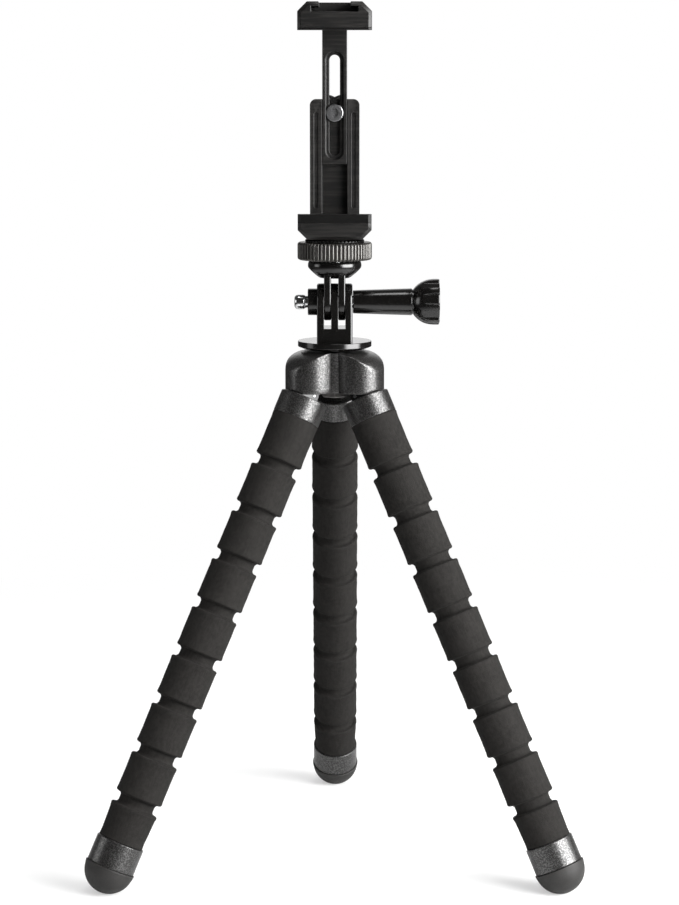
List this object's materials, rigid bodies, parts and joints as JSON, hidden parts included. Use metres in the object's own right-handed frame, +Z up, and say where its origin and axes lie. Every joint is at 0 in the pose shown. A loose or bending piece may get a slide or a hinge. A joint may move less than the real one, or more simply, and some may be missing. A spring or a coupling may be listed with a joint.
{
  "type": "flexible leg tripod",
  "caption": "Tripod with grooved bendable foam legs that fold at a lobed hub, a pronged tilt hinge with a long thumbscrew, a ribbed lock ring and a sliding phone clamp with an accessory shoe.",
  "frame": {"origin": "on the floor under the middle of the hub, in the middle of the three feet", "axes": "+Z up along the hub and the head; -Y is the front that faces the phone's screen; +X is the side of the thumbscrew"},
  "size_m": [0.1988, 0.175, 0.35],
  "materials": {
    "foam": "closed-cell black foam, matt with a fine grain",
    "gloss_black": "moulded black plastic, glossy over a fine spark texture",
    "satin_black": "moulded dark grey plastic, satin",
    "foot_rubber": "dark grey moulded rubber, matt",
    "pad_rubber": "black rubber, matt",
    "steel": "plated steel",
    "bright_steel": "bright polished steel",
    "wire_metal": "soft drawn aluminium wire",
    "brass": "turned brass"
  },
  "bodies": {
    "hub": {"hub_housing": "gloss_black", "hinge_pins": "steel", "hub_bolt": "steel"},
    "left_leg_1": {"left_collar": "gloss_black", "left_foam_1": "foam", "left_wire": "wire_metal"},
    "left_leg_2": {"left_foam_2": "foam"},
    "left_leg_3": {"left_foam_3": "foam"},
    "left_leg_4": {"left_foam_4": "foam"},
    "left_leg_5": {"left_foam_5": "foam"},
    "left_leg_6": {"left_foam_6": "foam"},
    "left_leg_7": {"left_foam_7": "foam"},
    "left_leg_8": {"left_foam_8": "foam"},
    "left_leg_9": {"left_foam_9": "foam", "left_tip_sleeve": "gloss_black", "left_foot": "foot_rubber"},
    "right_leg_1": {"right_collar": "gloss_black", "right_foam_1": "foam", "right_wire": "wire_metal"},
    "right_leg_2": {"right_foam_2": "foam"},
    "right_leg_3": {"right_foam_3": "foam"},
    "right_leg_4": {"right_foam_4": "foam"},
    "right_leg_5": {"right_foam_5": "foam"},
    "right_leg_6": {"right_foam_6": "foam"},
    "right_leg_7": {"right_foam_7": "foam"},
    "right_leg_8": {"right_foam_8": "foam"},
    "right_leg_9": {"right_foam_9": "foam", "right_tip_sleeve": "gloss_black", "right_foot": "foot_rubber"},
    "rear_leg_1": {"rear_collar": "gloss_black", "rear_foam_1": "foam", "rear_wire": "wire_metal"},
    "rear_leg_2": {"rear_foam_2": "foam"},
    "rear_leg_3": {"rear_foam_3": "foam"},
    "rear_leg_4": {"rear_foam_4": "foam"},
    "rear_leg_5": {"rear_foam_5": "foam"},
    "rear_leg_6": {"rear_foam_6": "foam"},
    "rear_leg_7": {"rear_foam_7": "foam"},
    "rear_leg_8": {"rear_foam_8": "foam"},
    "rear_leg_9": {"rear_foam_9": "foam", "rear_tip_sleeve": "gloss_black", "rear_foot": "foot_rubber"},
    "base": {"prong_base": "gloss_black", "base_insert": "brass", "hinge_nut": "steel"},
    "thumbscrew": {"thumbscrew_bolt": "bright_steel", "thumbscrew_knob": "gloss_black"},
    "head": {"fork_head": "gloss_black", "head_stud": "steel"},
    "ring": {"lock_ring": "gloss_black", "ring_pad": "pad_rubber"},
    "clamp": {"lower_jaw": "satin_black", "thread_insert": "brass", "lower_pad": "pad_rubber", "clamp_bolt": "steel", "clamp_washer": "steel"},
    "slider": {"upper_jaw": "satin_black", "upper_pad": "pad_rubber"},
    "knob": {"clamp_knob": "gloss_black"}
  },
  "joints": [
    {"name": "left_leg_fold", "type": "hinge", "parent": "hub", "child": "left_leg_1", "pos_m": [-0.00996, -0.00575, 0.19772], "axis": [0.5, -0.866, 0], "range_deg": [0, 25.5]},
    {"name": "left_bend_1", "type": "hinge", "parent": "left_leg_1", "child": "left_leg_2", "pos_m": [-0.02359, -0.01362, 0.16545], "axis": [-0.5, 0.866, 0], "range_deg": [-22, 22], "deforming": ["left_wire"]},
    {"name": "left_bend_2", "type": "hinge", "parent": "left_leg_2", "child": "left_leg_3", "pos_m": [-0.03148, -0.01818, 0.14676], "axis": [-0.7784, -0.4494, 0.4384], "range_deg": [-22, 22], "deforming": ["left_wire"]},
    {"name": "left_bend_3", "type": "hinge", "parent": "left_leg_3", "child": "left_leg_4", "pos_m": [-0.03938, -0.02274, 0.12806], "axis": [0.5, -0.866, 0], "range_deg": [-22, 22], "deforming": ["left_wire"]},
    {"name": "left_bend_4", "type": "hinge", "parent": "left_leg_4", "child": "left_leg_5", "pos_m": [-0.04728, -0.0273, 0.10937], "axis": [0.7784, 0.4494, -0.4384], "range_deg": [-22, 22], "deforming": ["left_wire"]},
    {"name": "left_bend_5", "type": "hinge", "parent": "left_leg_5", "child": "left_leg_6", "pos_m": [-0.05517, -0.03186, 0.09067], "axis": [-0.5, 0.866, 0], "range_deg": [-22, 22], "deforming": ["left_wire"]},
    {"name": "left_bend_6", "type": "hinge", "parent": "left_leg_6", "child": "left_leg_7", "pos_m": [-0.06307, -0.03641, 0.07198], "axis": [-0.7784, -0.4494, 0.4384], "range_deg": [-22, 22], "deforming": ["left_wire"]},
    {"name": "left_bend_7", "type": "hinge", "parent": "left_leg_7", "child": "left_leg_8", "pos_m": [-0.07097, -0.04097, 0.05328], "axis": [0.5, -0.866, 0], "range_deg": [-22, 22], "deforming": ["left_wire"]},
    {"name": "left_bend_8", "type": "hinge", "parent": "left_leg_8", "child": "left_leg_9", "pos_m": [-0.07886, -0.04553, 0.03459], "axis": [0.7784, 0.4494, -0.4384], "range_deg": [-22, 22], "deforming": ["left_wire"]},
    {"name": "right_leg_fold", "type": "hinge", "parent": "hub", "child": "right_leg_1", "pos_m": [0.00996, -0.00575, 0.19772], "axis": [0.5, 0.866, 0], "range_deg": [0, 25.5]},
    {"name": "right_bend_1", "type": "hinge", "parent": "right_leg_1", "child": "right_leg_2", "pos_m": [0.02359, -0.01362, 0.16545], "axis": [-0.5, -0.866, 0], "range_deg": [-22, 22], "deforming": ["right_wire"]},
    {"name": "right_bend_2", "type": "hinge", "parent": "right_leg_2", "child": "right_leg_3", "pos_m": [0.03148, -0.01818, 0.14676], "axis": [0.7784, -0.4494, 0.4384], "range_deg": [-22, 22], "deforming": ["right_wire"]},
    {"name": "right_bend_3", "type": "hinge", "parent": "right_leg_3", "child": "right_leg_4", "pos_m": [0.03938, -0.02274, 0.12806], "axis": [0.5, 0.866, 0], "range_deg": [-22, 22], "deforming": ["right_wire"]},
    {"name": "right_bend_4", "type": "hinge", "parent": "right_leg_4", "child": "right_leg_5", "pos_m": [0.04728, -0.0273, 0.10937], "axis": [-0.7784, 0.4494, -0.4384], "range_deg": [-22, 22], "deforming": ["right_wire"]},
    {"name": "right_bend_5", "type": "hinge", "parent": "right_leg_5", "child": "right_leg_6", "pos_m": [0.05517, -0.03186, 0.09067], "axis": [-0.5, -0.866, 0], "range_deg": [-22, 22], "deforming": ["right_wire"]},
    {"name": "right_bend_6", "type": "hinge", "parent": "right_leg_6", "child": "right_leg_7", "pos_m": [0.06307, -0.03641, 0.07198], "axis": [0.7784, -0.4494, 0.4384], "range_deg": [-22, 22], "deforming": ["right_wire"]},
    {"name": "right_bend_7", "type": "hinge", "parent": "right_leg_7", "child": "right_leg_8", "pos_m": [0.07097, -0.04097, 0.05328], "axis": [0.5, 0.866, 0], "range_deg": [-22, 22], "deforming": ["right_wire"]},
    {"name": "right_bend_8", "type": "hinge", "parent": "right_leg_8", "child": "right_leg_9", "pos_m": [0.07886, -0.04553, 0.03459], "axis": [-0.7784, 0.4494, -0.4384], "range_deg": [-22, 22], "deforming": ["right_wire"]},
    {"name": "rear_leg_fold", "type": "hinge", "parent": "hub", "child": "rear_leg_1", "pos_m": [0, 0.0115, 0.19772], "axis": [-1, 0, 0], "range_deg": [0, 25.5]},
    {"name": "rear_bend_1", "type": "hinge", "parent": "rear_leg_1", "child": "rear_leg_2", "pos_m": [0, 0.02724, 0.16545], "axis": [1, 0, 0], "range_deg": [-22, 22], "deforming": ["rear_wire"]},
    {"name": "rear_bend_2", "type": "hinge", "parent": "rear_leg_2", "child": "rear_leg_3", "pos_m": [0, 0.03636, 0.14676], "axis": [0, 0.8988, 0.4384], "range_deg": [-22, 22], "deforming": ["rear_wire"]},
    {"name": "rear_bend_3", "type": "hinge", "parent": "rear_leg_3", "child": "rear_leg_4", "pos_m": [0, 0.04547, 0.12806], "axis": [-1, 0, 0], "range_deg": [-22, 22], "deforming": ["rear_wire"]},
    {"name": "rear_bend_4", "type": "hinge", "parent": "rear_leg_4", "child": "rear_leg_5", "pos_m": [0, 0.05459, 0.10937], "axis": [0, -0.8988, -0.4384], "range_deg": [-22, 22], "deforming": ["rear_wire"]},
    {"name": "rear_bend_5", "type": "hinge", "parent": "rear_leg_5", "child": "rear_leg_6", "pos_m": [0, 0.06371, 0.09067], "axis": [1, 0, 0], "range_deg": [-22, 22], "deforming": ["rear_wire"]},
    {"name": "rear_bend_6", "type": "hinge", "parent": "rear_leg_6", "child": "rear_leg_7", "pos_m": [0, 0.07283, 0.07198], "axis": [0, 0.8988, 0.4384], "range_deg": [-22, 22], "deforming": ["rear_wire"]},
    {"name": "rear_bend_7", "type": "hinge", "parent": "rear_leg_7", "child": "rear_leg_8", "pos_m": [0, 0.08195, 0.05328], "axis": [-1, 0, 0], "range_deg": [-22, 22], "deforming": ["rear_wire"]},
    {"name": "rear_bend_8", "type": "hinge", "parent": "rear_leg_8", "child": "rear_leg_9", "pos_m": [0, 0.09106, 0.03459], "axis": [0, -0.8988, -0.4384], "range_deg": [-22, 22], "deforming": ["rear_wire"]},
    {"name": "base_pan", "type": "hinge", "parent": "hub", "child": "base", "pos_m": [0, 0, 0.21182], "axis": [0, 0, 1], "continuous": true},
    {"name": "head_tilt", "type": "hinge", "parent": "base", "child": "head", "pos_m": [0, 0, 0.23062], "axis": [1, 0, 0], "range_deg": [-90, 90]},
    {"name": "thumbscrew_turn", "type": "hinge", "parent": "base", "child": "thumbscrew", "pos_m": [0, 0, 0.23062], "axis": [1, 0, 0], "continuous": true},
    {"name": "lock_ring_turn", "type": "hinge", "parent": "head", "child": "ring", "pos_m": [0, 0, 0.24772], "axis": [0, 0, 1], "continuous": true},
    {"name": "clamp_pan", "type": "hinge", "parent": "head", "child": "clamp", "pos_m": [0, 0, 0.25632], "axis": [0, 0, 1], "continuous": true},
    {"name": "jaw_slide", "type": "slide", "parent": "clamp", "child": "slider", "axis": [0, 0, 1], "range_m": [-0.02, 0.014]},
    {"name": "clamp_knob_turn", "type": "hinge", "parent": "clamp", "child": "knob", "pos_m": [0, 0.01, 0.30622], "axis": [0, 1, 0], "continuous": true}
  ]
}
